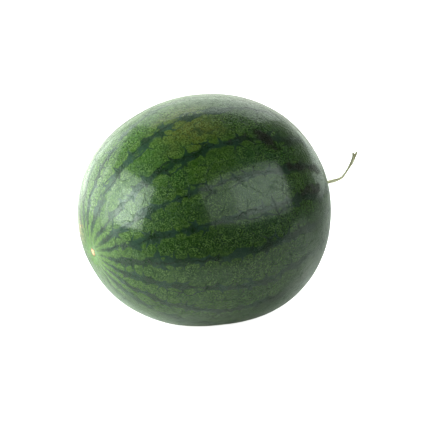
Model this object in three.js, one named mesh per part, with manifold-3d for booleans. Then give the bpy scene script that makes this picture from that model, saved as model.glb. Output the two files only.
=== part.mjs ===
// A whole round-oval watermelon lying on its side, with its thin dried stem.
// Millimetres, +Z up. The origin is on the flat spot that the fruit rests on, straight below its centre.
// The fruit's own axis runs from the blossom end near -X to the stem end near +X, and rises to the stem.

import * as THREE from 'three';
import { mergeVertices } from 'three/addons/utils/BufferGeometryUtils.js';
import Module from 'manifold-3d';

const wasm = await Module();
wasm.setup();

// ---- Fruit: size and pose ----
const fruitRadius = 118; // half its thickness, square to its axis
const lengthRatio = 1.075; // length over thickness
const axisRise = THREE.MathUtils.degToRad(9.8); // the stem end lies higher than the blossom end
const axisHeight = 99.1; // its centre above the surface that it rests on

// ---- Fruit: how it departs from an even oval, as shares of the local radius ----
const upperSwell = 0.069; // fuller above its axis than below
const blossomSwell = 0.011; // fuller towards the blossom end
const endBlunting = 0.013; // a little squarer towards both ends
const shoulderDrop = 0.022; // upper side lower at the stem end
const backArch = 0.006; // upper side slightly arched from end to end
const bellyHollow = 0.079; // the side that it grew on is flattened
const bellySpread = 0.55; // radians round the lowest point

// ---- Fruit: relief at its two ends ----
const stemHollowDepth = 2.4;
const stemHollowRadius = 15;
const blossomHollowDepth = 1.4;
const blossomHollowRadius = 9;
const scarHeight = 1.1; // the corky scar stands in the middle of the blossom hollow
const scarRadius = 2.6;
const scarUp = 6; // the blossom end lies a little off the fruit's own axis: above it,
const scarAside = 17; // and towards its -Y side

// ---- Fruit: mesh ----
const meridians = 72;
const parallels = 46;
const endCrowding = 0.36; // 0 spaces the parallels evenly, 0.5 crowds them onto the ends
const leanSpread = 0.8; // radians from the blossom end over which the meridians lean to the scar

// ---- Stem ----
const socketDepth = 3;
const seatGap = 0.3; // clearance between the stem's root and its socket
const stemSides = 10;
const stemRings = 34;
const prongRings = 6;
const stemRidges = 5;
const ridgeHeight = 0.1; // as a share of the local radius

// Route of the stem in the upright plane of the fruit's axis: [outwards, upwards] from its socket's mouth.
const stemRoute = [
  [-2.6, 0], [1.5, 0.3], [5.6, 1.7], [9.8, 3.1], [14.8, 3.8], [21.6, 3.8], [28.2, 4.5],
  [31.9, 6.6], [36.2, 10.6], [40.4, 15.2], [43.8, 19.4], [46, 23],
];
// Thickness along the stem: [share of its length, radius].
const stemThickness = [
  [0, 3], [0.06, 2.9], [0.12, 2.1], [0.2, 1.7], [0.45, 1.5], [0.56, 1.15],
  [0.66, 1], [0.78, 1.1], [0.88, 1.6], [1, 1.8],
];
// The two prongs of its split tip.
const prongRoutes = [
  [[45.2, 21.6], [45.6, 24.1], [45.6, 27.3]],
  [[45.4, 21.3], [47.5, 23.8], [49.8, 27]],
];
const prongRadius = [1.3, 0.95]; // at its root and at its tip

const rindColour = new THREE.Color(0.075, 0.16, 0.06);
const stemColour = new THREE.Color(0.33, 0.32, 0.17);

// ---- Shape of the rind ----

// A smooth bump: 1 at distance 0, fading to nothing past about twice the spread.
function bump(distance, spread) {
  return Math.exp(-((distance / spread) ** 2));
}

// Distance from the fruit's centre to its skin along the unit direction d, in the fruit's own frame:
// x along its axis to the stem, y upwards, z to the side.
function rindRadius(d) {
  const oval = fruitRadius / Math.hypot(d.x / lengthRatio, d.y, d.z);
  const towardsGround = -d.y * Math.cos(axisRise) - d.x * Math.sin(axisRise);
  const fromLowest = Math.acos(THREE.MathUtils.clamp(towardsGround, -1, 1));
  const growth = 1
    + upperSwell * d.y
    - blossomSwell * d.x * (5 * d.x ** 2 - 3) / 2
    - endBlunting * (35 * d.x ** 4 - 30 * d.x ** 2 + 3) / 8
    - shoulderDrop * d.x * d.y
    + backArch * d.y * (5 * d.x ** 2 - 1)
    - bellyHollow * bump(fromLowest, bellySpread);
  const fromAxis = oval * Math.hypot(d.y, d.z);
  const fromScar = Math.hypot(oval * d.y - scarUp, oval * d.z - scarAside);
  const relief = d.x > 0
    ? -stemHollowDepth * bump(fromAxis, stemHollowRadius)
    : scarHeight * bump(fromScar, scarRadius) - blossomHollowDepth * bump(fromScar, blossomHollowRadius);
  return oval * growth + relief;
}

// ---- Solids ----

// A closed solid from a geometry whose shared vertices are merged by position.
function solidOf(geometry) {
  const bare = geometry.clone();
  bare.deleteAttribute('normal');
  bare.deleteAttribute('uv');
  const merged = mergeVertices(bare);
  return new wasm.Manifold(new wasm.Mesh({
    numProp: 3,
    vertProperties: new Float32Array(merged.attributes.position.array),
    triVerts: new Uint32Array(merged.index.array),
  }));
}

function geometryOf(solid) {
  const mesh = solid.getMesh();
  const geometry = new THREE.BufferGeometry();
  geometry.setAttribute('position', new THREE.BufferAttribute(mesh.vertProperties, 3));
  geometry.setIndex(new THREE.BufferAttribute(mesh.triVerts, 1));
  geometry.computeVertexNormals();
  return geometry;
}

// Moves every vertex of a geometry to the place that the given function works out for it.
function reshape(geometry, placeOf) {
  const position = geometry.attributes.position;
  const vertex = new THREE.Vector3();
  for (let i = 0; i < position.count; i += 1) {
    vertex.fromBufferAttribute(position, i);
    const place = placeOf(vertex);
    position.setXYZ(i, place.x, place.y, place.z);
  }
  return geometry;
}

// ---- Fruit ----

// The whole rind in the fruit's own frame. The sphere's poles become the middles of the stem end and of
// the scar, and its parallels crowd towards them, where the relief is fine.
function rindGeometry() {
  const sphere = new THREE.SphereGeometry(1, meridians, parallels);
  return reshape(sphere, (vertex) => {
    const evenAngle = Math.acos(THREE.MathUtils.clamp(vertex.y, -1, 1));
    const angle = evenAngle - endCrowding * Math.sin(2 * evenAngle);
    const around = Math.atan2(vertex.z, -vertex.x);
    const lean = bump(Math.PI - angle, leanSpread) / (fruitRadius * lengthRatio);
    const direction = new THREE.Vector3(
      Math.cos(angle),
      Math.sin(angle) * Math.cos(around) + scarUp * lean,
      Math.sin(angle) * Math.sin(around) + scarAside * lean,
    ).normalize();
    return direction.multiplyScalar(rindRadius(direction));
  });
}

const stemSeat = rindRadius(new THREE.Vector3(1, 0, 0)); // where the axis leaves the stem end

// The plain blind socket that the stem's root stands in.
function socketGeometry() {
  const radius = stemThickness[0][1] + seatGap;
  const overrun = socketDepth; // it is cut from outside the skin
  const socket = new THREE.CylinderGeometry(radius, radius, socketDepth + overrun, 2 * stemSides);
  socket.rotateZ(Math.PI / 2);
  socket.translate(stemSeat - socketDepth + (socketDepth + overrun) / 2, 0, 0);
  return socket;
}

// What the flat spot leaves out: everything below the surface that the fruit rests on.
function groundGeometry() {
  const side = 4 * fruitRadius;
  const ground = new THREE.BoxGeometry(side, side, fruitRadius);
  ground.translate(0, 0, -fruitRadius / 2);
  return ground;
}

function makeFruit(fruitFrame) {
  const rind = rindGeometry().applyMatrix4(fruitFrame.matrix);
  const socket = socketGeometry().applyMatrix4(fruitFrame.matrix);
  const whole = solidOf(rind).subtract(solidOf(socket)).subtract(solidOf(groundGeometry()));
  const material = new THREE.MeshStandardMaterial({ color: rindColour, roughness: 0.4, metalness: 0 });
  const fruit = new THREE.Mesh(geometryOf(whole), material);
  fruit.name = 'fruit';
  return fruit;
}

// ---- Stem ----

function curveThrough(route) {
  const points = route.map(([out, up]) => new THREE.Vector3(out, up, 0));
  return new THREE.CatmullRomCurve3(points, false, 'centripetal');
}

// Straight-line reading of a table of [share, value] rows.
function readAlong(rows, share) {
  const next = Math.max(1, rows.findIndex(([at]) => at >= share));
  const [startShare, startValue] = rows[next - 1];
  const [endShare, endValue] = rows[next];
  return THREE.MathUtils.mapLinear(share, startShare, endShare, startValue, endValue);
}

// A closed stalk along a route: a unit cylinder whose rings follow the curve. The radius depends on the
// share of the length and on the angle round the stalk.
function stalkGeometry(route, rings, radiusAt) {
  const curve = curveThrough(route);
  const frames = curve.computeFrenetFrames(rings);
  const cylinder = new THREE.CylinderGeometry(1, 1, 1, stemSides, rings);
  return reshape(cylinder, (vertex) => {
    const share = THREE.MathUtils.clamp(vertex.y + 0.5, 0, 1);
    const ring = Math.round(share * rings);
    const angle = Math.atan2(vertex.z, vertex.x);
    const radius = Math.hypot(vertex.x, vertex.z) * radiusAt(share, angle);
    return curve.getPointAt(share)
      .addScaledVector(frames.normals[ring], radius * Math.cos(angle))
      .addScaledVector(frames.binormals[ring], -radius * Math.sin(angle));
  });
}

function makeStem() {
  const ridged = (share, angle) => {
    const ridge = 1 + ridgeHeight * Math.cos(stemRidges * angle);
    return readAlong(stemThickness, share) * ridge;
  };
  const round = (share) => THREE.MathUtils.lerp(prongRadius[0], prongRadius[1], share);
  let whole = solidOf(stalkGeometry(stemRoute, stemRings, ridged));
  for (const route of prongRoutes) {
    whole = whole.add(solidOf(stalkGeometry(route, prongRings, round)));
  }
  const material = new THREE.MeshStandardMaterial({ color: stemColour, roughness: 0.8, metalness: 0 });
  const stem = new THREE.Mesh(geometryOf(whole), material);
  stem.name = 'stem';
  stem.position.set(stemSeat, 0, 0);
  return stem;
}

// ---- The object ----

const group = new THREE.Group();

// The fruit's own frame: x along its axis to the stem, y upwards, z to the side.
const fruitFrame = new THREE.Group();
fruitFrame.position.set(0, 0, axisHeight);
fruitFrame.setRotationFromMatrix(new THREE.Matrix4().makeBasis(
  new THREE.Vector3(Math.cos(axisRise), 0, Math.sin(axisRise)),
  new THREE.Vector3(-Math.sin(axisRise), 0, Math.cos(axisRise)),
  new THREE.Vector3(0, -1, 0),
));
fruitFrame.updateMatrix();

group.add(makeFruit(fruitFrame));
fruitFrame.add(makeStem());
group.add(fruitFrame);

export default group;
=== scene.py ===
"""A whole watermelon lying on its side: its striped, waxy rind and its thin dried stem.

Everything is in metres in the part's own frame: +Z up, +X towards the stem end, origin on the flat spot.
Sizes of the fruit are named here in millimetres, because a melon is measured in them.
"""

import math

import bpy
from mathutils import Matrix, Vector, noise
from mathutils.geometry import interpolate_bezier
from mathutils.kdtree import KDTree


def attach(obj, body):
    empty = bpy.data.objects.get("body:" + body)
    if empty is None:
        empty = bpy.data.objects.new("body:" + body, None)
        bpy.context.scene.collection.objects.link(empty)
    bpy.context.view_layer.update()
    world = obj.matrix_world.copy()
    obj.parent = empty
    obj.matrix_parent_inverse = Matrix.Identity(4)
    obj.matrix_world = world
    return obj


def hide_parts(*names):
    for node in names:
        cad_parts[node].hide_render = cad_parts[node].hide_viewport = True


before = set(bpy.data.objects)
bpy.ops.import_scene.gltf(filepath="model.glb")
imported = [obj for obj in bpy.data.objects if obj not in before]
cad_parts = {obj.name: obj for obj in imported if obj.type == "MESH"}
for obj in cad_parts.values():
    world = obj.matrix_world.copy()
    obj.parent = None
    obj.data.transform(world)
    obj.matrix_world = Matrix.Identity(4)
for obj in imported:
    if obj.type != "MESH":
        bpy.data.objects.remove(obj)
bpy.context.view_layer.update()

MM = 0.001

# ---- Fruit: size and pose, in millimetres and radians ----
GIRTH_RADIUS = 118
LENGTH_RATIO = 1.075
AXIS_RISE = math.radians(9.8)
AXIS_HEIGHT = 99.1

# ---- Fruit: how it departs from an even oval, as shares of the local radius ----
UPPER_SWELL = 0.069
BLOSSOM_SWELL = 0.011
END_BLUNTING = 0.013
SHOULDER_DROP = 0.022
BACK_ARCH = 0.006
BELLY_HOLLOW = 0.079
BELLY_SPREAD = 0.55

# ---- Fruit: relief, in millimetres ----
STEM_HOLLOW_DEPTH = 2.4
STEM_HOLLOW_RADIUS = 15
BLOSSOM_HOLLOW_DEPTH = 1.4
BLOSSOM_HOLLOW_RADIUS = 9
SCAR_HEIGHT = 1.1
SCAR_RADIUS = 2.6
SCAR_UP = 6
SCAR_ASIDE = 17
LEAN_SPREAD = 0.8
COLLAR_HEIGHT = 0.5
COLLAR_RADIUS = 4.3
PUCKER_HEIGHT = 0.22
PUCKER_RADIUS = 16
PUCKERS = 23
PUCKER_SWAY = 1.3
UNEVENNESS = 0.9
UNEVEN_SPAN = 60
FLAT_EDGE_ROUNDING = 1.2

# ---- Rind mesh ----
MERIDIANS = 352
PARALLELS = 236
END_CROWDING = 0.36
SEAM_WELD = 2e-6  # metres: closes the grid's seam and its two ends

# ---- Stem, in millimetres: (outwards, upwards) from its socket's mouth, in the axis's upright plane ----
STEM_SEAT = 121.4
STEM_ROUTE = (
    (-2.6, 0), (1.5, 0.3), (5.6, 1.7), (9.8, 3.1), (14.8, 3.8), (21.6, 3.8), (28.2, 4.5),
    (31.9, 6.6), (36.2, 10.6), (40.4, 15.2), (43.8, 19.4), (46, 23),
)
# Thickness along it: (share of its length, radius).
STEM_THICKNESS = (
    (0, 3), (0.06, 2.9), (0.12, 2.1), (0.2, 1.7), (0.45, 1.5), (0.56, 1.15),
    (0.66, 1), (0.78, 1.1), (0.88, 1.55), (1, 1.7),
)
PRONG_ROUTES = (
    ((45.2, 21.6), (45.6, 24.1), (45.6, 27.3)),
    ((45.4, 21.3), (47.5, 23.8), (49.8, 27)),
)
PRONG_THICKNESS = ((0, 1.3), (0.7, 1.15), (1, 0.95))
PRONG_OVERLAP = 1.5
STEM_STEPS = 14
STEM_SIDES = 28
STEM_VOXEL = 0.13
STEM_RIDGES = 5
RIDGE_HEIGHT = 0.14
RIDGE_TWIST = 0.06
WRINKLE_HEIGHT = 0.11
WRINKLES_ALONG = 0.35
WRINKLES_ROUND = 1.4
FINE_WRINKLES = 2.7
# Knots in the stem: how far along, half length, height as a share of the radius.
STEM_KNOTS = ((23, 1.6, 0.12), (37, 1.2, 0.1))

# ---- Stripes ----
STRIPE_COUNT = 20
FIRST_STRIPE = math.radians(18.0)
# How unevenly they are spaced: waves round the fruit, swing in degrees, start in radians.
STRIPE_SWAY = ((2, 1.83, 3.48), (3, 1.38, 1.28), (5, 1.24, 1.39))

# ---- Grain of the rind, in millimetres ----
LOBE_SPAN = 15
SEAM_SPAN = 7
WORM_SPAN = 1.3
RIND_RELIEF = 0.3
STEM_RELIEF = 0.08

# ---- Places on the rind, in millimetres from the fruit's centre: along its axis, away, up ----
DEEP_SPOT = (-25.0, -112.0, 5.0)
SUNNED_SPOT = (-18.0, -43.0, 114.0)
SCUFFED_SPOT = (-126.0, 8.0, 22.0)
GROUND_SPOT = (-17.0, 0.0, -98.0)
# Dark blackish smears: start, end, half width, and how dark.
DARK_SMEARS = (
    ((44, -69, 94), (51, -77, 84), 10, 0.95),
    ((60, -89, 62), (98, -68, 43), 5.5, 0.92),
    ((66, -99, 36), (90, -82, 30), 5, 0.95),
    ((10, -76, 96), (42, -68, 95), 3, 0.6),
)

# ---- Colours of the rind, as display levels from 0 to 255 ----
STRIPE_GREEN = (19, 42, 17)
STRIPE_SLATE = (30, 55, 41)
STRIPE_LINE = (13, 30, 9)
BAND_GREEN = (38, 70, 18)
BAND_YELLOW_GREEN = (60, 90, 22)
BAND_COOL = (30, 70, 32)
BAND_GREY_LOBE = (42, 68, 38)
BAND_DEEP = (26, 56, 6)
BAND_CLOUD = (31, 55, 12)
BAND_SUNNED = (98, 88, 34)
BAND_PALED = (128, 162, 92)
BAND_MARGIN = (68, 94, 24)
GRANULE_PALE = (104, 136, 64)
PIT_DARK = (16, 38, 8)
CRACK_DARK = (27, 50, 28)
SEAM_DARK = (24, 50, 22)
BLOSSOM_PALE = (128, 158, 112)
BLOSSOM_LINE = (34, 72, 40)
SCAR_RIM = (104, 84, 48)
SCAR_BROWN = (198, 122, 84)
SCAR_CREAM = (226, 190, 152)
SCUFF_TAN = (226, 172, 140)
SMEAR_BLACK = (9, 5, 2)
STEM_END_GREEN = (96, 128, 64)
COLLAR_CORK = (148, 134, 88)
GROUND_STRAW = (188, 178, 112)
GROUND_CREAM = (196, 190, 140)
# Towards the stem end the rind is darkened by this linear tint, as far as DEEPENING.
DEEPENING = 0.8
DEEPENING_TINT = (0.25, 0.27, 0.22, 1)

# ---- Colours of the stem, as display levels from 0 to 255 ----
FIBRE_KHAKI = (168, 162, 130)
FIBRE_PALE = (222, 218, 192)
# Painted highlight on the stem's ridges and painted shade in its grooves.
PAINTED_RIDGE_HIGHLIGHT = (234, 230, 190)
PAINTED_GROOVE_SHADE = (122, 114, 76)
BLOTCH_GREY = (166, 162, 126)
FORK_DARK = (132, 126, 92)
TIP_PALE = (236, 234, 180)
ROOT_GREEN = (122, 120, 76)

# ---- Gloss that is the same all over ----
RIND_GLOSS = {
    "Coat Roughness": 0.1, "Coat IOR": 1.4, "IOR": 1.35, "Specular Tint": (0.78, 1.0, 0.84, 1.0),
    "Sheen Weight": 0.1, "Sheen Roughness": 0.35, "Sheen Tint": (0.68, 1.0, 0.5, 1.0),
}
STEM_GLOSS = {"IOR": 1.45, "Sheen Weight": 0.15}

# ---- Camera, in millimetres and radians ----
CAMERA_ELEVATION = math.radians(15)
CAMERA_TURN = math.radians(21.24)
CAMERA_BACK = 1617.3
CAMERA_RIGHT = 3.5
CAMERA_UP = 8.9
LENS = 139
SENSOR = 36

# ---- Light ----
# The floor and the room glow in the rind's gloss alone: straight behind the fruit, behind it to the
# left, and just in front of it. The glow straight behind starts and is full at these cosines.
STRAIGHT_BEHIND = (0.88, 0.985)
FLOOR_BEHIND = 0.7
FLOOR_BEHIND_LEFT = 0.9
FLOOR_IN_FRONT = 0.39
ROOM_BEHIND = 0.7
ROOM_IN_FRONT = 0.015
ROOM_FILL = 0.12
ROOM_COLOUR = (0.94, 1.0, 0.87, 1.0)
FLOOR_LIT = (0.75, 0.75, 0.75, 1)
FLOOR_UNLIT = (0.06, 0.06, 0.06, 1)
FLOOR_SEEN = (0.9, 0.9, 0.9, 1)
FLOOR_HALF_SIDE = 20
WHITE = (1, 1, 1, 1)
# Soft boxes: name, azimuth from the camera to its right, elevation, width, height, watts, and whether
# it only lights the rind ("fill") or only shows in its gloss ("shine").
SOFT_BOXES = (
    ("left shine", -67, 13, 1.0, 1.1, 22, "shine"),
    ("left inner shine", -64, 12, 0.55, 0.65, 6.5, "shine"),
    ("left side shine", -101, 8, 0.6, 0.8, 6, "shine"),
    ("left rear shine", -130, 12, 0.8, 0.9, 4.5, "shine"),
    ("left far shine", -152, 6, 0.4, 0.5, 0.5, "shine"),
    ("right shine", 44, 27, 1.65, 1.0, 8.8, "shine"),
    ("right inner shine", 55, 26, 0.95, 0.68, 3.3, "shine"),
    ("right rear shine", 140, 4, 0.8, 0.3, 0.8, "shine"),
    ("rear shine", 180, 40, 1.2, 0.7, 3.8, "shine"),
    ("rear low shine", 180, 16, 1.6, 0.4, 1, "shine"),
    ("left fill", -90, 7, 1.2, 0.8, 48, "fill"),
    ("left rear fill", -122, 12, 0.9, 0.9, 15, "fill"),
    ("right fill", 45, 28, 1.9, 0.8, 4.5, "fill"),
    ("right low fill", 50, 5, 1.6, 0.25, 3.5, "fill"),
    ("right rear fill", 115, 35, 0.9, 0.9, 5, "fill"),
    ("rear fill", 180, 70, 1.2, 0.8, 12, "fill"),
)
SOFT_BOX_DISTANCE = 1.2
SOFT_BOX_COLOUR = (0.9, 1.0, 0.93)


def paint(levels):
    """A display colour from 0 to 255, as the linear colour that shaders take."""
    def linear(level):
        share = level / 255
        return share / 12.92 if share <= 0.04045 else ((share + 0.055) / 1.055) ** 2.4
    red, green, blue = levels
    return (linear(red), linear(green), linear(blue), 1.0)


# ---- Writing node trees ----

def socket_of(sockets, key):
    """The socket with that number, identifier or name."""
    if isinstance(key, int):
        return sockets[key]
    for socket in sockets:
        if socket.identifier == key:
            return socket
    return sockets[key]


def add_node(tree, kind, settings=None, inputs=None, output=0):
    """Adds one node: its settings first, then the values or links of its sockets. Returns one output."""
    node = tree.nodes.new(kind)
    for name, value in (settings or {}).items():
        setattr(node, name, value)
    for key, value in (inputs or {}).items():
        socket = socket_of(node.inputs, key)
        if isinstance(value, Field):
            tree.links.new(value.socket, socket)
        else:
            socket.default_value = value
    return Field(tree, socket_of(node.outputs, output)) if len(node.outputs) else None


class Field:
    """One output of a node tree. Arithmetic on fields and numbers adds Math nodes."""

    def __init__(self, tree, socket):
        self.tree = tree
        self.socket = socket

    def sibling(self, output):
        return Field(self.tree, socket_of(self.socket.node.outputs, output))

    def math(self, operation, *others):
        values = dict(enumerate((self,) + others))
        return add_node(self.tree, "ShaderNodeMath", {"operation": operation}, values)

    def __add__(self, other):
        return self.math("ADD", other)

    def __radd__(self, other):
        return self.math("ADD", other)

    def __sub__(self, other):
        return self.math("SUBTRACT", other)

    def __rsub__(self, other):
        return (self * -1) + other

    def __mul__(self, other):
        return self.math("MULTIPLY", other)

    def __rmul__(self, other):
        return self.math("MULTIPLY", other)

    def __truediv__(self, other):
        return self.math("DIVIDE", other)

    def __rtruediv__(self, other):
        return self.math("POWER", -1.0) * other

    def __pow__(self, other):
        return self.math("POWER", other)

    def __neg__(self):
        return self * -1

    def bump(self, spread):
        """1 at zero, fading to nothing past about twice the spread."""
        return (-((self / spread) ** 2)).math("EXPONENT")

    def rise(self, low, high):
        """0 below low, 1 above high, and smooth between. low may be above high."""
        ends = {"Value": self, "From Min": low, "From Max": high}
        return add_node(self.tree, "ShaderNodeMapRange", {"interpolation_type": "SMOOTHSTEP"}, ends)

    def parts(self):
        """The three numbers of a vector."""
        first = add_node(self.tree, "ShaderNodeSeparateXYZ", None, {0: self})
        return first, first.sibling(1), first.sibling(2)

    def vector(self, operation, *others):
        values = dict(enumerate((self,) + others))
        return add_node(self.tree, "ShaderNodeVectorMath", {"operation": operation}, values)

    def distance_to(self, point):
        return self.vector("DISTANCE", point).sibling("Value")

    def noise(self, span, detail=2.0, roughness=0.5, output="Fac"):
        """Even random cloud from 0 to 1, about 0.5, with features of that span."""
        settings = {"noise_dimensions": "3D"}
        values = {"Vector": self, "Scale": 1 / span, "Detail": detail, "Roughness": roughness}
        return add_node(self.tree, "ShaderNodeTexNoise", settings, values, output)

    def shaken(self, span, reach, detail=1.0):
        """This place moved at random by about reach, over features of that span."""
        push = self.noise(span, detail, output="Color").vector("SUBTRACT", (0.5, 0.5, 0.5))
        values = {0: push, "Scale": 2 * reach}
        scaled = add_node(self.tree, "ShaderNodeVectorMath", {"operation": "SCALE"}, values)
        return self.vector("ADD", scaled)

    def cells(self, span, feature="F1", output="Distance", randomness=1.0):
        settings = {"voronoi_dimensions": "3D", "feature": feature}
        values = {"Vector": self, "Scale": 1 / span, "Randomness": randomness}
        return add_node(self.tree, "ShaderNodeTexVoronoi", settings, values, output)


def blend(share, under, over, mode="MIX"):
    """Colour under, covered by colour over as far as share says."""
    settings = {"data_type": "RGBA", "blend_type": mode}
    values = {"Factor_Float": share, "A_Color": under, "B_Color": over}
    return add_node(share.tree, "ShaderNodeMix", settings, values, "Result_Color")


def joined(x, y, z):
    """A vector from three fields."""
    return add_node(x.tree, "ShaderNodeCombineXYZ", None, {0: x, 1: y, 2: z})


# ---- Rind ----

def new_material(name):
    material = bpy.data.materials.new(name)
    material.use_nodes = True
    material.node_tree.nodes.clear()
    return material, material.node_tree


def finish_surface(tree, colour, roughness, height, depth, gloss):
    """The surface that a material ends in: colour and gloss, with relief of that depth in metres."""
    bumped = add_node(tree, "ShaderNodeBump", None, {"Height": height, "Distance": depth, "Strength": 1.0})
    values = {"Base Color": colour, "Roughness": roughness, "Normal": bumped}
    values.update(gloss)
    surface = add_node(tree, "ShaderNodeBsdfPrincipled", None, values, "BSDF")
    add_node(tree, "ShaderNodeOutputMaterial", None, {"Surface": surface})


def fruit_place(tree):
    """The place on the fruit in millimetres from its centre: along its axis, away from the front, and up."""
    spot = add_node(tree, "ShaderNodeTexCoord", output="Object")
    centre = Vector((-math.sin(AXIS_RISE) * AXIS_HEIGHT, 0, -math.cos(AXIS_RISE) * AXIS_HEIGHT))
    values = {"Vector": spot, "Location": centre, "Rotation": (0, AXIS_RISE, 0), "Scale": (1000, 1000, 1000)}
    return add_node(tree, "ShaderNodeMapping", {"vector_type": "POINT"}, values)


def distance_to_line(place, start, end):
    """Distance from the straight line between two points."""
    start, end = Vector(start), Vector(end)
    run = end - start
    from_start = place.vector("SUBTRACT", tuple(start))
    share = from_start.vector("DOT_PRODUCT", tuple(run / run.length_squared)).sibling("Value")
    share = share.math("MAXIMUM", 0.0).math("MINIMUM", 1.0)
    nearest = joined(share * run.x, share * run.y, share * run.z)
    return from_start.vector("DISTANCE", nearest).sibling("Value")


def stripe_layout(place, ring, around):
    """How far a spot lies inside a dark stripe, in millimetres, and where the rind's nearest lines run."""
    spacing = ring * (2 * math.pi / STRIPE_COUNT) + 0.01
    turn = (around - FIRST_STRIPE) * (STRIPE_COUNT / (2 * math.pi))
    for waves, swing, start in STRIPE_SWAY:
        turn = turn + (around * waves + start).math("SINE") * (swing * STRIPE_COUNT / 360)
    tameness = ring.rise(0, 50)
    wander = (place.noise(50, 1) - 0.5) * 7 + (place.noise(17, 2) - 0.5) * 7
    turn = turn + wander * tameness / spacing
    across = turn.math("WRAP", 0.5, -0.5) * spacing
    from_stripe = across.math("ABSOLUTE")
    lobe_place = place.shaken(18, 4).shaken(5, 1.2)
    from_crack = lobe_place.cells(LOBE_SPAN, "DISTANCE_TO_EDGE") * LOBE_SPAN
    from_seam = place.shaken(5, 1.2).cells(SEAM_SPAN, "DISTANCE_TO_EDGE") * SEAM_SPAN
    half_width = tameness * (place.noise(20, 1) * 5 - 0.4) + 0.2
    reach = (place.noise(20, 2) - 0.3) * 20 * ring.rise(20, 70)
    crack = from_crack.bump(0.9) * reach.math("MAXIMUM", 0.0)
    ragged = (place.noise(1.8, 2) - 0.5) * 3.5 + (place.noise(5, 2) - 0.5) * 3
    lobes = from_crack.rise(0, 6) * 2.0 + from_seam.rise(0, 2.5) * 0.7
    inside = half_width + (crack + 1.5 - lobes + ragged) * (tameness * 0.8 + 0.2) - from_stripe
    line = (across + (place.noise(12, 2) - 0.5) * 12).bump(0.9) * place.noise(15, 1).rise(0.42, 0.58)
    return inside, from_crack, from_seam, lobe_place, line


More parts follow.
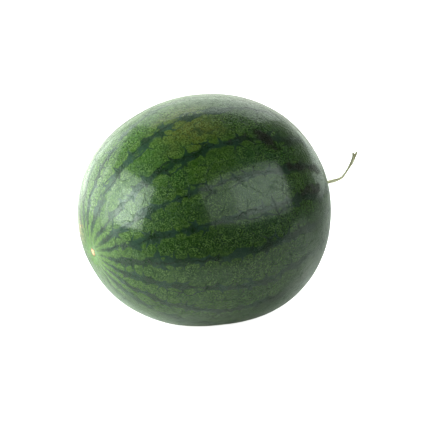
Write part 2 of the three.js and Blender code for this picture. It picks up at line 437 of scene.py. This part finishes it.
def rind_material():
    """The waxy rind: lobed bands between dark stripes, with its two ends, smears and pale underside."""
    material, tree = new_material("rind")
    place = fruit_place(tree)
    along, away, up = place.parts()
    # The stripes run out from the middle of the stem end and in to the scar, a little off the axis.
    lean = along.rise(-20, -120)
    away = away + lean * SCAR_ASIDE
    up = up - lean * SCAR_UP
    ring = (away * away + up * up).math("SQRT")
    around = (away * -1).math("ARCTAN2", up)
    inside, from_crack, from_seam, lobe_place, line = stripe_layout(place, ring, around)
    soft_edge = ring.rise(0, 45) * 1.2 + 0.5
    stripe = (inside / soft_edge).rise(-1, 1)

    # Dark green and smooth slate-green stretches of the stripes, with a thin darker line along them.
    slate_share = place.shaken(8, 3).noise(14, 2).rise(0.36, 0.62)
    stripe_colour = blend(slate_share, paint(STRIPE_GREEN), paint(STRIPE_SLATE))
    stripe_colour = blend(line * 0.8, stripe_colour, paint(STRIPE_LINE))

    # Light bands: base tint by lobe and by stretch, then pale granules and dark pits.
    lobe_tint = lobe_place.cells(LOBE_SPAN, "F1", "Color")
    red = add_node(tree, "ShaderNodeSeparateColor", None, {0: lobe_tint})
    green = red.sibling(1)
    band_colour = blend(red * 0.6 + 0.2, paint(BAND_GREEN), paint(BAND_YELLOW_GREEN))
    cool = place.shaken(20, 6).noise(38, 2).rise(0.42, 0.62)
    band_colour = blend(cool * along.rise(-110, -20) * 0.7, band_colour, paint(BAND_COOL))
    band_colour = blend(green.rise(0.5, 1) * 0.3, band_colour, paint(BAND_GREY_LOBE))
    deep = place.distance_to(DEEP_SPOT).rise(95, 25)
    band_colour = blend(deep * 0.8, band_colour, paint(BAND_DEEP))
    band_colour = blend(place.noise(9, 2).rise(0.42, 0.62) * 0.35, band_colour, paint(BAND_CLOUD))
    sunned = (place.distance_to(SUNNED_SPOT) + (place.noise(14, 2) - 0.5) * 40).rise(50, 8)
    band_colour = blend(sunned * 0.55, band_colour, paint(BAND_SUNNED))
    # The bands are paler towards the blossom end.
    blossom = along.rise(0, -60)
    band_colour = blend(blossom * ring.rise(52, 8) * 0.4, band_colour, paint(BAND_PALED))

    worms = place.shaken(2.4, 0.7).noise(WORM_SPAN, 1)
    granule = worms.rise(0.46, 0.64)
    patch = place.noise(9, 2).rise(0.36, 0.6)
    granule_share = granule * (patch * 0.38 + 0.2) * (up.rise(-80, 0) * 0.4 + 0.6)
    band_colour = blend(granule_share, band_colour, paint(GRANULE_PALE))
    pits = worms.rise(0.46, 0.32)
    band_colour = blend(pits * 0.6, band_colour, paint(PIT_DARK))
    fine_crack = from_crack.rise(1.1, 0.1) * place.noise(9, 1).rise(0.4, 0.6)
    seam = from_seam.rise(0.9, 0.1) * place.noise(6, 1).rise(0.42, 0.6)
    band_colour = blend(fine_crack * 0.6, band_colour, paint(CRACK_DARK))
    band_colour = blend(seam * 0.5, band_colour, paint(SEAM_DARK))
    margin = inside.rise(-5, -1.0) * (1 - stripe)
    band_colour = blend(margin * 0.3, band_colour, paint(BAND_MARGIN))

    fading = blossom * ring.rise(34, 8)
    colour = blend(stripe - stripe * fading * 0.75, band_colour, stripe_colour)
    # The whole rind is darker towards the stem end.
    colour = blend(along.rise(-75, 80) * DEEPENING, colour, DEEPENING_TINT, "MULTIPLY")

    # Blossom end: fine dark lines running in to the scar, and scuffs beside it.
    line_place = joined(along * 0.02, away / (ring + 2), up / (ring + 2))
    lines = line_place.noise(0.03, 2).rise(0.55, 0.68)
    colour = blend(blossom * ring.rise(16, 5) * 0.35, colour, paint(BLOSSOM_PALE))
    colour = blend(blossom * ring.rise(50, 12) * lines * 0.55, colour, paint(BLOSSOM_LINE))
    scar_edge = ring + (place.noise(2.4, 2) - 0.5) * 4
    colour = blend(blossom * scar_edge.rise(5.4, 3.9) * 0.8, colour, paint(SCAR_RIM))
    scar_colour = blend(place.noise(1.1, 2).rise(0.42, 0.58), paint(SCAR_BROWN), paint(SCAR_CREAM))
    colour = blend(blossom * scar_edge.rise(3.8, 2.6), colour, scar_colour)
    scuffs = place.distance_to(SCUFFED_SPOT).rise(17, 6) * place.noise(2.6, 2).rise(0.5, 0.62)
    colour = blend(scuffs * 0.5, colour, paint(SCUFF_TAN))

    # Near-black smears on the shoulder near the stem, dull against the waxy rind.
    wax = granule * 0.1 + 0.6 - pits * 0.12 - fine_crack * 0.35 - seam * 0.28 - line * 0.25
    smearing = along * 0
    smear_place = place.shaken(14, 5).shaken(3.5, 1.6)
    patchy = place.noise(3.5, 2).rise(0.34, 0.5) * 0.3 + 0.7
    for start, end, width, share in DARK_SMEARS:
        from_smear = distance_to_line(smear_place, start, end) + (place.noise(7, 3) - 0.5) * width * 2
        smearing = smearing.math("MAXIMUM", from_smear.rise(width, width * 0.4) * patchy * share)
    colour = blend(smearing, colour, paint(SMEAR_BLACK))
    wax = wax - smearing

    # Stem end: a corky collar round the stem's root.
    stem_end = along.rise(0, 60)
    collar = (ring + (place.noise(2, 2) - 0.5) * 2).rise(6.2, 4.6)
    colour = blend(stem_end * ring.rise(26, 6) * 0.35, colour, paint(STEM_END_GREEN))
    colour = blend(stem_end * collar, colour, paint(COLLAR_CORK))

    # The side that it grew on: a pale straw-coloured patch round the flat spot.
    ground_edge = (place.noise(34, 3) - 0.5) * 70 + (place.noise(4, 2) - 0.5) * 9
    ground = place.distance_to(GROUND_SPOT) + ground_edge
    ground_colour = blend(place.noise(12, 3).rise(0.35, 0.65), paint(GROUND_STRAW), paint(GROUND_CREAM))
    ground_share = ground.rise(58, 26) * (0.82 - stripe * 0.14 - pits * 0.16)
    colour = blend(ground_share, colour, ground_colour)

    height = granule * 0.5 - fine_crack * 0.4 + stripe * 0.2 + place.noise(1.1, 2) * 0.5
    roughness = 0.11 + place.noise(6, 2) * 0.07 + granule * 0.02 + smearing * 0.15
    gloss = {"Coat Weight": wax.math("MAXIMUM", 0.0), **RIND_GLOSS}
    finish_surface(tree, colour, roughness, height, RIND_RELIEF * MM, gloss)
    return material


def rind_tree(material):
    """Geometry nodes that raise the rind from its size and its few departures from an even oval."""
    tree = bpy.data.node_groups.new("rind shape", "GeometryNodeTree")
    tree.interface.new_socket("Geometry", in_out="OUTPUT", socket_type="NodeSocketGeometry")
    sizes = {
        "Girth radius": GIRTH_RADIUS * MM, "Length ratio": LENGTH_RATIO, "Axis height": AXIS_HEIGHT * MM,
        "Upper swell": UPPER_SWELL, "Blossom swell": BLOSSOM_SWELL, "End blunting": END_BLUNTING,
        "Shoulder drop": SHOULDER_DROP, "Back arch": BACK_ARCH,
        "Belly hollow": BELLY_HOLLOW, "Belly spread": BELLY_SPREAD,
        "Stem hollow depth": STEM_HOLLOW_DEPTH * MM, "Stem hollow radius": STEM_HOLLOW_RADIUS * MM,
        "Blossom hollow depth": BLOSSOM_HOLLOW_DEPTH * MM,
        "Blossom hollow radius": BLOSSOM_HOLLOW_RADIUS * MM,
        "Scar height": SCAR_HEIGHT * MM, "Scar radius": SCAR_RADIUS * MM,
        "Scar up": SCAR_UP * MM, "Scar aside": SCAR_ASIDE * MM, "Lean spread": LEAN_SPREAD,
        "Collar height": COLLAR_HEIGHT * MM, "Collar radius": COLLAR_RADIUS * MM,
        "Pucker height": PUCKER_HEIGHT * MM, "Pucker radius": PUCKER_RADIUS * MM,
        "Unevenness": UNEVENNESS * MM, "Flat edge rounding": FLAT_EDGE_ROUNDING * MM,
    }
    for name in sizes:
        tree.interface.new_socket(name, in_out="INPUT", socket_type="NodeSocketFloat")
    given = add_node(tree, "NodeGroupInput")
    size = {name: given.sibling(name) for name in sizes}

    grid_sizes = {"Size X": 1.0, "Size Y": 1.0, "Vertices X": MERIDIANS + 1, "Vertices Y": PARALLELS + 1}
    grid = add_node(tree, "GeometryNodeMeshGrid", None, grid_sizes, "Mesh")
    across, down, _ = add_node(tree, "GeometryNodeInputPosition").parts()
    around = across * (2 * math.pi)
    even_angle = (down + 0.5) * math.pi
    angle = even_angle - (even_angle * 2).math("SINE") * END_CROWDING
    lean = (angle - math.pi).bump(size["Lean spread"]) / (size["Girth radius"] * size["Length ratio"])
    leant_y = angle.math("SINE") * around.math("COSINE") + size["Scar up"] * lean
    leant_z = angle.math("SINE") * around.math("SINE") + size["Scar aside"] * lean
    dx, dy, dz = joined(angle.math("COSINE"), leant_y, leant_z).vector("NORMALIZE").parts()

    off_axis = (dy * dy + dz * dz).math("SQRT")
    oval = size["Girth radius"] / ((dx / size["Length ratio"]) ** 2 + dy * dy + dz * dz).math("SQRT")
    towards_ground = dy * -math.cos(AXIS_RISE) - dx * math.sin(AXIS_RISE)
    from_lowest = towards_ground.math("MINIMUM", 1.0).math("MAXIMUM", -1.0).math("ARCCOSINE")
    square = dx * dx
    growth = (
        1 + size["Upper swell"] * dy
        - size["Blossom swell"] * dx * (square * 5 - 3) / 2
        - size["End blunting"] * (square * square * 35 - square * 30 + 3) / 8
        - size["Shoulder drop"] * dx * dy
        + size["Back arch"] * dy * (square * 5 - 1)
        - size["Belly hollow"] * from_lowest.bump(size["Belly spread"])
    )
    from_axis = oval * off_axis
    stem_side = dx.math("GREATER_THAN", 0.0)
    from_scar = ((oval * dy - size["Scar up"]) ** 2 + (oval * dz - size["Scar aside"]) ** 2).math("SQRT")
    stem_relief = (
        size["Collar height"] * (from_axis - size["Collar radius"]).bump(0.001)
        - size["Stem hollow depth"] * from_axis.bump(size["Stem hollow radius"])
    )
    blossom_relief = (
        size["Scar height"] * from_scar.bump(size["Scar radius"])
        - size["Blossom hollow depth"] * from_scar.bump(size["Blossom hollow radius"])
    )
    relief = stem_side * stem_relief + (1 - stem_side) * blossom_relief
    ripple = (around * PUCKERS + (around * 3).math("SINE") * PUCKER_SWAY).math("SINE")
    from_middle = stem_side * from_axis + (1 - stem_side) * from_scar
    away_from_middle = from_middle.rise(0.003, 0.008)
    puckers = size["Pucker height"] * ripple * from_middle.bump(size["Pucker radius"]) * away_from_middle
    swell = (joined(dx, dy, dz).noise(UNEVEN_SPAN / GIRTH_RADIUS, 1) - 0.5) * 2 * size["Unevenness"]
    reach = oval * growth + relief + puckers + swell

    fx, fy, fz = dx * reach, dy * reach, dz * reach
    world_x = fx * math.cos(AXIS_RISE) - fy * math.sin(AXIS_RISE)
    world_z = fx * math.sin(AXIS_RISE) + fy * math.cos(AXIS_RISE) + size["Axis height"]
    world_z = world_z.math("SMOOTH_MAX", 0.0, size["Flat edge rounding"])
    moved = add_node(tree, "GeometryNodeSetPosition", None,
                     {"Geometry": grid, "Position": joined(world_x, fz * -1, world_z)})
    closed = add_node(tree, "GeometryNodeMergeByDistance", None, {"Geometry": moved, "Distance": SEAM_WELD})
    smooth = add_node(tree, "GeometryNodeSetShadeSmooth", None, {"Geometry": closed})
    real = add_node(tree, "GeometryNodeRealizeInstances", None, {"Geometry": smooth})
    dressed = add_node(tree, "GeometryNodeSetMaterial", None, {"Geometry": real, "Material": material})
    add_node(tree, "NodeGroupOutput", None, {"Geometry": dressed})
    return tree, sizes


def mesh_from_tree(name, tree, sizes, start=None, voxel=None):
    """A plain mesh object from a geometry node tree with those sizes, grown from the start mesh."""
    holder = bpy.data.objects.new(name + " maker", start or bpy.data.meshes.new(name + " maker"))
    bpy.context.scene.collection.objects.link(holder)
    modifier = holder.modifiers.new("shape", "NODES")
    modifier.node_group = tree
    for item in tree.interface.items_tree:
        if item.in_out == "INPUT" and item.name in sizes:
            modifier[item.identifier] = sizes[item.name]
    if voxel:
        weld = holder.modifiers.new("one skin", "REMESH")
        weld.mode = "VOXEL"
        weld.voxel_size = voxel
        weld.use_smooth_shade = True
    graph = bpy.context.evaluated_depsgraph_get()
    mesh = bpy.data.meshes.new_from_object(holder.evaluated_get(graph))
    mesh.name = name
    bpy.data.objects.remove(holder)
    piece = bpy.data.objects.new(name, mesh)
    bpy.context.scene.collection.objects.link(piece)
    return piece


def make_rind():
    tree, sizes = rind_tree(rind_material())
    rind = mesh_from_tree("rind", tree, sizes)
    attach(rind, "root")
    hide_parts("fruit")


# ---- Stem ----

def stem_material():
    """Dry, fibrous and khaki: fibres run along the stem, paler at its torn tips, with a painted highlight on
    its ridges and painted shade in its grooves.
    """
    material, tree = new_material("dry stem")
    along = add_node(tree, "ShaderNodeAttribute", {"attribute_name": "along"}, None, "Fac")
    turn = add_node(tree, "ShaderNodeAttribute", {"attribute_name": "turn"}, None, "Fac")
    place = fruit_place(tree)
    fibre_place = joined(along * 0.14, turn.math("COSINE"), turn.math("SINE"))
    fibre = fibre_place.noise(0.3, 3)
    ridge = (turn * STEM_RIDGES + along * RIDGE_TWIST * STEM_RIDGES).math("COSINE")
    colour = blend(fibre.rise(0.35, 0.65), paint(FIBRE_KHAKI), paint(FIBRE_PALE))
    # Painted highlight on the raised ridges and painted shade in the grooves between them.
    colour = blend(ridge.rise(0.1, 1) * 0.45, colour, paint(PAINTED_RIDGE_HIGHLIGHT))
    colour = blend(ridge.rise(-0.4, -1) * 0.5, colour, paint(PAINTED_GROOVE_SHADE))
    colour = blend(place.noise(4, 2).rise(0.5, 0.66) * 0.45, colour, paint(BLOTCH_GREY))
    colour = blend(along.rise(53, 58) * 0.45, colour, paint(FORK_DARK))
    colour = blend(along.rise(62.5, 65.5) * 0.7, colour, paint(TIP_PALE))
    colour = blend(along.rise(7, 2) * 0.5, colour, paint(ROOT_GREEN))
    height = fibre * 0.7 + ridge * 0.3 + place.noise(0.5, 2) * 0.4
    roughness = 0.72 + place.noise(3, 1) * 0.16
    finish_surface(tree, colour, roughness, height, STEM_RELIEF * MM, STEM_GLOSS)
    return material


def stem_tree(material):
    """Geometry nodes that sweep a round section along each path, as thick as the path says."""
    tree = bpy.data.node_groups.new("stem shape", "GeometryNodeTree")
    tree.interface.new_socket("Geometry", in_out="INPUT", socket_type="NodeSocketGeometry")
    tree.interface.new_socket("Geometry", in_out="OUTPUT", socket_type="NodeSocketGeometry")
    sizes = {"Section radius": 1.0}
    for name in sizes:
        tree.interface.new_socket(name, in_out="INPUT", socket_type="NodeSocketFloat")
    given = add_node(tree, "NodeGroupInput")
    named = {"Name": "thickness"}
    thickness = add_node(tree, "GeometryNodeInputNamedAttribute", {"data_type": "FLOAT"}, named)
    path = add_node(tree, "GeometryNodeMeshToCurve", None, {"Mesh": given})
    section_size = {"Resolution": STEM_SIDES, "Radius": given.sibling("Section radius")}
    section = add_node(tree, "GeometryNodeCurvePrimitiveCircle", None, section_size)
    swept = add_node(tree, "GeometryNodeCurveToMesh", None,
                     {"Curve": path, "Profile Curve": section, "Scale": thickness, "Fill Caps": True})
    real = add_node(tree, "GeometryNodeRealizeInstances", None, {"Geometry": swept})
    dressed = add_node(tree, "GeometryNodeSetMaterial", None, {"Geometry": real, "Material": material})
    add_node(tree, "NodeGroupOutput", None, {"Geometry": dressed})
    return tree, sizes


def read_along(rows, share):
    """Straight-line reading of rows of (share, value)."""
    for (start, value), (end, next_value) in zip(rows, rows[1:]):
        if share <= end:
            return value + (next_value - value) * (share - start) / (end - start)
    return rows[-1][1]


def smooth_path(route, steps):
    """Points along a smooth curve through a route, in metres where the stem stands."""
    points = [Vector((out, 0, up)) for out, up in route]
    points = [points[0] * 2 - points[1]] + points + [points[-1] * 2 - points[-2]]
    path = []
    for before, start, end, after in zip(points, points[1:], points[2:], points[3:]):
        leaving = start + (end - before) / 6
        arriving = end - (after - start) / 6
        path += interpolate_bezier(start, leaving, arriving, end, steps)[:-1]
    path.append(points[-2])
    stand = (
        Matrix.Scale(MM, 4) @ Matrix.Translation((0, 0, AXIS_HEIGHT))
        @ Matrix.Rotation(-AXIS_RISE, 4, "Y") @ Matrix.Translation((STEM_SEAT, 0, 0))
    )
    return [stand @ point for point in path]


def stem_paths():
    """Each path of the stem as rows of (point, thickness, distance along the stem in millimetres)."""
    paths = []
    for route, rows in ((STEM_ROUTE, STEM_THICKNESS), (PRONG_ROUTES[0], PRONG_THICKNESS),
                        (PRONG_ROUTES[1], PRONG_THICKNESS)):
        path = smooth_path(route, STEM_STEPS)
        reached = [0.0]
        for start, end in zip(path, path[1:]):
            reached.append(reached[-1] + (end - start).length)
        begun = paths[0][-1][2] - PRONG_OVERLAP if paths else 0
        paths.append([(point, read_along(rows, at / reached[-1]) * MM, begun + at / MM)
                      for point, at in zip(path, reached)])
    return paths


def path_mesh(paths):
    """Loose edges along the paths, each vertex with its thickness."""
    points, edges, thickness = [], [], []
    for path in paths:
        edges += [(len(points) + n, len(points) + n + 1) for n in range(len(path) - 1)]
        points += [point for point, _, _ in path]
        thickness += [radius for _, radius, _ in path]
    mesh = bpy.data.meshes.new("stem paths")
    mesh.from_pydata(points, edges, [])
    mesh.attributes.new("thickness", "FLOAT", "POINT").data.foreach_set("value", thickness)
    return mesh


def wither(mesh, paths):
    """Presses ridges and wrinkles into the skin, and marks each spot's place along and round the stem."""
    rows = [(path[n][0], (path[n + 1][0] - path[n][0]).normalized(), path[n][1], path[n][2])
            for path in paths for n in range(len(path) - 1)]
    finder = KDTree(len(rows))
    for number, row in enumerate(rows):
        finder.insert(row[0], number)
    finder.balance()
    along_marks, turn_marks, moved = [], [], []
    aside = Vector((0, 1, 0))
    for vertex in mesh.vertices:
        middle, heading, radius, at = rows[finder.find(vertex.co)[1]]
        offset = vertex.co - middle
        turn = math.atan2(offset.dot(aside), offset.dot(aside.cross(heading)))
        ridge = math.cos(STEM_RIDGES * (turn + at * RIDGE_TWIST)) * RIDGE_HEIGHT
        aslant, upright = math.cos(turn) * WRINKLES_ROUND, math.sin(turn) * WRINKLES_ROUND
        skin = Vector((at * WRINKLES_ALONG, aslant, upright))
        wrinkle = noise.noise(skin) + 0.5 * noise.noise(skin * FINE_WRINKLES)
        knot = sum(rise * math.exp(-(((at - spot) / half) ** 2)) for spot, half, rise in STEM_KNOTS)
        outwards = radius * (ridge + knot) + wrinkle * WRINKLE_HEIGHT * MM
        moved.append(vertex.co + vertex.normal * outwards)
        along_marks.append(at)
        turn_marks.append(turn)
    mesh.vertices.foreach_set("co", [value for place in moved for value in place])
    mesh.attributes.new("along", "FLOAT", "POINT").data.foreach_set("value", along_marks)
    mesh.attributes.new("turn", "FLOAT", "POINT").data.foreach_set("value", turn_marks)
    mesh.update()


def make_stem():
    paths = stem_paths()
    material = stem_material()
    tree, sizes = stem_tree(material)
    stem = mesh_from_tree("dry_stem", tree, sizes, path_mesh(paths), STEM_VOXEL * MM)
    wither(stem.data, paths)
    if not stem.data.materials:
        stem.data.materials.append(material)
    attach(stem, "root")
    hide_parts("stem")


# ---- Camera, floor and light ----

def view_axes():
    """Right, up and forward of the camera."""
    right = Vector((math.cos(CAMERA_TURN), -math.sin(CAMERA_TURN), 0))
    level = Vector((math.sin(CAMERA_TURN), math.cos(CAMERA_TURN), 0))
    forward = level * math.cos(CAMERA_ELEVATION) - Vector((0, 0, 1)) * math.sin(CAMERA_ELEVATION)
    return right, right.cross(forward), forward


def make_camera():
    right, up, forward = view_axes()
    camera = bpy.data.objects.new("camera", bpy.data.cameras.new("camera"))
    camera.data.lens = LENS
    camera.data.sensor_width = SENSOR
    camera.data.sensor_fit = "HORIZONTAL"
    place = Vector((0, 0, AXIS_HEIGHT)) + right * CAMERA_RIGHT + up * CAMERA_UP - forward * CAMERA_BACK
    turned = Matrix((right, up, -forward)).transposed().to_4x4()
    camera.matrix_world = Matrix.Translation(place * MM) @ turned
    bpy.context.scene.collection.objects.link(camera)
    bpy.context.scene.camera = camera


def make_floor():
    """A white floor. The camera sees it plain; the gloss sees it glow where the rind's rim mirrors it."""
    material, tree = new_material("floor")
    across, depth, _ = add_node(tree, "ShaderNodeTexCoord", output="Object").parts()
    towards_back = across * math.sin(CAMERA_TURN) + depth * math.cos(CAMERA_TURN)
    sideways = across * math.cos(CAMERA_TURN) - depth * math.sin(CAMERA_TURN)
    outwards = (across * across + depth * depth).math("SQRT") + 0.01
    straight_back = (towards_back / outwards).rise(*STRAIGHT_BEHIND) * outwards.rise(0.2, 0.5)
    near = towards_back.rise(-0.28, -0.18)
    in_gloss = add_node(tree, "ShaderNodeLightPath", output="Is Glossy Ray")
    # In the gloss, the floor behind the fruit is dimmed so that its rim isn't burnt out.
    lit_share = near * (1 - in_gloss * towards_back.rise(-0.02, 0.12) * 0.6)
    lit_colour = blend(lit_share, FLOOR_UNLIT, FLOOR_LIT)
    lit_white = add_node(tree, "ShaderNodeBsdfDiffuse", None, {"Color": lit_colour})
    front = (-towards_back).rise(0.05, 0.12) * (-towards_back).rise(0.34, 0.24) * sideways.bump(0.16)
    left_back = (sideways / outwards).rise(-0.12, -0.36) * (towards_back / outwards).rise(0.6, 0.85)
    left_back = left_back * outwards.rise(0.25, 0.45)
    glow = straight_back * FLOOR_BEHIND + left_back * FLOOR_BEHIND_LEFT + front * FLOOR_IN_FRONT
    glow_strength = glow * in_gloss
    back_glow = add_node(tree, "ShaderNodeEmission", None, {"Color": ROOM_COLOUR, "Strength": glow_strength})
    lit = add_node(tree, "ShaderNodeAddShader", None, {0: lit_white, 1: back_glow})
    seen_white = add_node(tree, "ShaderNodeBsdfDiffuse", None, {"Color": FLOOR_SEEN})
    seen_strength = outwards.rise(0.4, 3) * 0.06 + 0.94
    seen_glow = add_node(tree, "ShaderNodeEmission", None, {"Color": WHITE, "Strength": seen_strength})
    seen_surface = add_node(tree, "ShaderNodeAddShader", None, {0: seen_white, 1: seen_glow})
    seen = add_node(tree, "ShaderNodeLightPath", output="Is Camera Ray")
    surface = add_node(tree, "ShaderNodeMixShader", None, {0: seen, 1: lit, 2: seen_surface})
    add_node(tree, "ShaderNodeOutputMaterial", None, {"Surface": surface})
    mesh = bpy.data.meshes.new("floor")
    side = FLOOR_HALF_SIDE
    corners = [(-side, -side, 0), (side, -side, 0), (side, side, 0), (-side, side, 0)]
    mesh.from_pydata(corners, [], [(0, 1, 2, 3)])
    mesh.materials.append(material)
    floor = bpy.data.objects.new("floor", mesh)
    bpy.context.scene.collection.objects.link(floor)


def make_soft_boxes():
    """Soft boxes that face the fruit."""
    for name, azimuth, elevation, width, height, watts, part in SOFT_BOXES:
        turn = CAMERA_TURN + math.radians(180 - azimuth)
        tilt = math.radians(elevation)
        outwards = Vector((math.sin(turn) * math.cos(tilt), math.cos(turn) * math.cos(tilt), math.sin(tilt)))
        light = bpy.data.lights.new(name, "AREA")
        light.shape = "RECTANGLE"
        light.size = width
        light.size_y = height
        light.energy = watts
        light.color = SOFT_BOX_COLOUR
        holder = bpy.data.objects.new(name, light)
        holder.location = Vector((0, 0, AXIS_HEIGHT * MM)) + outwards * SOFT_BOX_DISTANCE
        holder.rotation_euler = outwards.to_track_quat("Z", "Y").to_euler()
        holder.visible_camera = False
        holder.visible_glossy = part != "fill"
        holder.visible_diffuse = part != "shine"
        bpy.context.scene.collection.objects.link(holder)


def make_surroundings():
    """A white room that is brighter behind the fruit than in front of it. The camera sees plain white."""
    world = bpy.data.worlds.new("room")
    world.use_nodes = True
    world.node_tree.nodes.clear()
    tree = world.node_tree
    direction = add_node(tree, "ShaderNodeTexCoord", output="Generated")
    _, _, forward = view_axes()
    level = Vector((forward.x, forward.y, 0)).normalized()
    behind = direction.vector("DOT_PRODUCT", tuple(level)).sibling("Value")
    shine = ROOM_IN_FRONT + behind.rise(*STRAIGHT_BEHIND) * ROOM_BEHIND
    in_gloss = add_node(tree, "ShaderNodeLightPath", output="Is Glossy Ray")
    in_fill = add_node(tree, "ShaderNodeLightPath", output="Is Diffuse Ray")
    strength = shine * in_gloss + in_fill * ROOM_FILL
    room = add_node(tree, "ShaderNodeBackground", None, {"Color": ROOM_COLOUR, "Strength": strength})
    white = add_node(tree, "ShaderNodeBackground", None, {"Color": WHITE, "Strength": 1.0})
    seen = add_node(tree, "ShaderNodeLightPath", output="Is Camera Ray")
    mixed = add_node(tree, "ShaderNodeMixShader", None, {0: seen, 1: room, 2: white})
    add_node(tree, "ShaderNodeOutputWorld", None, {"Surface": mixed})
    bpy.context.scene.world = world


make_camera()
make_rind()
make_stem()
make_floor()
make_soft_boxes()
make_surroundings()
bpy.context.scene.view_settings.view_transform = "Standard"
